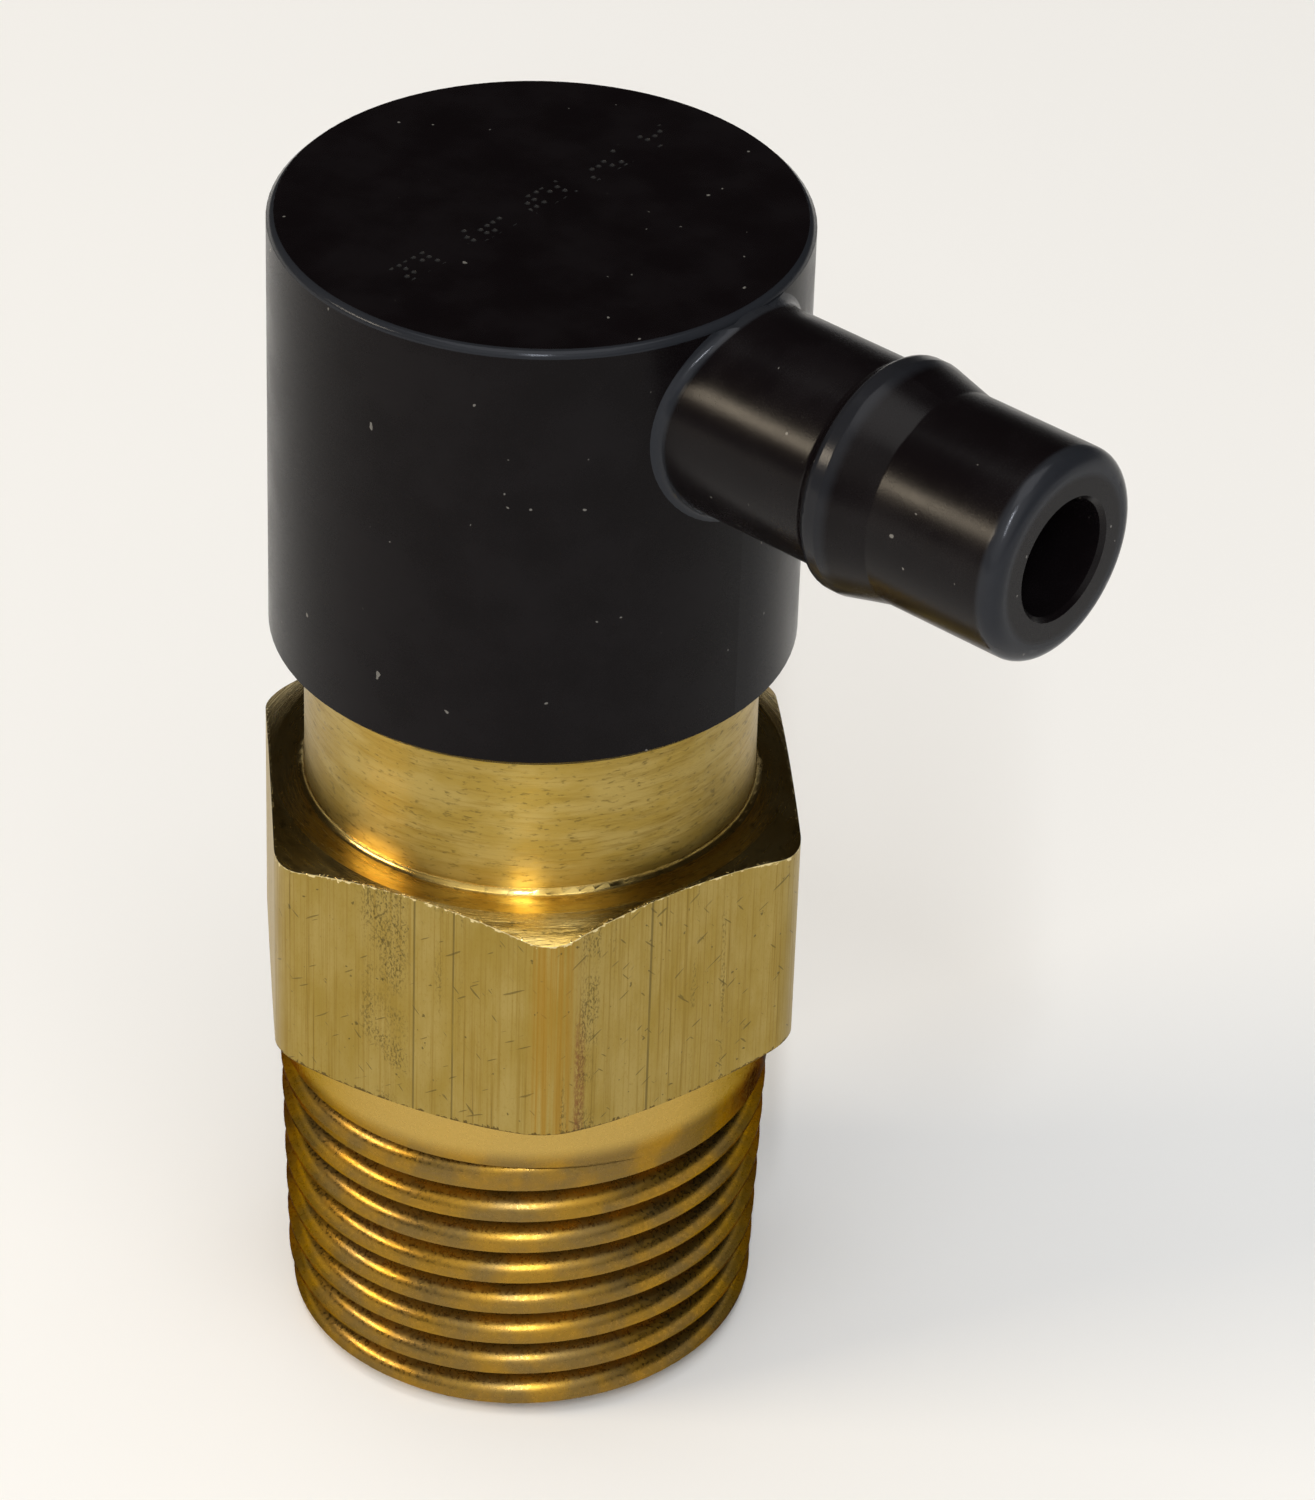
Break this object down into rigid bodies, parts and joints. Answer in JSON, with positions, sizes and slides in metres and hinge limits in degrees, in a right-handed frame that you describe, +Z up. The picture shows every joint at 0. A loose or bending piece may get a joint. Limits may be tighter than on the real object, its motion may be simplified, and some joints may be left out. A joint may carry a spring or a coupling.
{
  "type": "thermal relief valve",
  "caption": "Thermostatic relief valve: hexagon body with male taper pipe thread, round neck, and a swivelling black cap with one radial hose barb.",
  "frame": {"origin": "on the valve's axis, in the plane of the threaded end", "axes": "+Z up along the axis from the threaded end to the cap; +X along the hose barb, out of its mouth"},
  "size_m": [0.0317, 0.0198, 0.0447],
  "materials": {
    "brass_body": "machined",
    "black_anodised": "satin black anodised",
    "brass_inner": "turned",
    "copper_cup": "drawn",
    "stainless": "bright",
    "black_rubber": "matt",
    "ptfe": "smooth",
    "wax": "matt"
  },
  "bodies": {
    "body": {"valve_body": "brass_body", "swivel_oring_lower": "black_rubber", "swivel_oring_upper": "black_rubber", "swivel_retaining_wire": "stainless", "swivel_wear_washer": "ptfe", "piston_stop_plug": "brass_inner", "actuator_piston": "stainless", "spring_seat": "stainless", "inlet_snap_ring": "stainless", "return_spring": "stainless"},
    "cap": {"outlet_cap": "black_anodised", "hose_barb": "black_anodised"},
    "shuttle": {"actuator_cup": "copper_cup", "wax_charge": "wax", "rubber_boot": "black_rubber", "anti_chafe_disc": "ptfe", "actuator_guide": "brass_inner", "valve_disc": "brass_inner", "valve_disc_seal": "black_rubber", "disc_retaining_clip": "stainless"}
  },
  "joints": [
    {"name": "cap_swivel", "type": "hinge", "parent": "body", "child": "cap", "pos_m": [0, 0, 0.03], "axis": [0, 0, 1], "continuous": true},
    {"name": "valve_lift", "type": "slide", "parent": "body", "child": "shuttle", "axis": [0, 0, -1], "range_m": [0, 0.0025], "stiffness_N_per_m": 1500, "springref_m": -0.003, "deforming": ["return_spring"]}
  ]
}
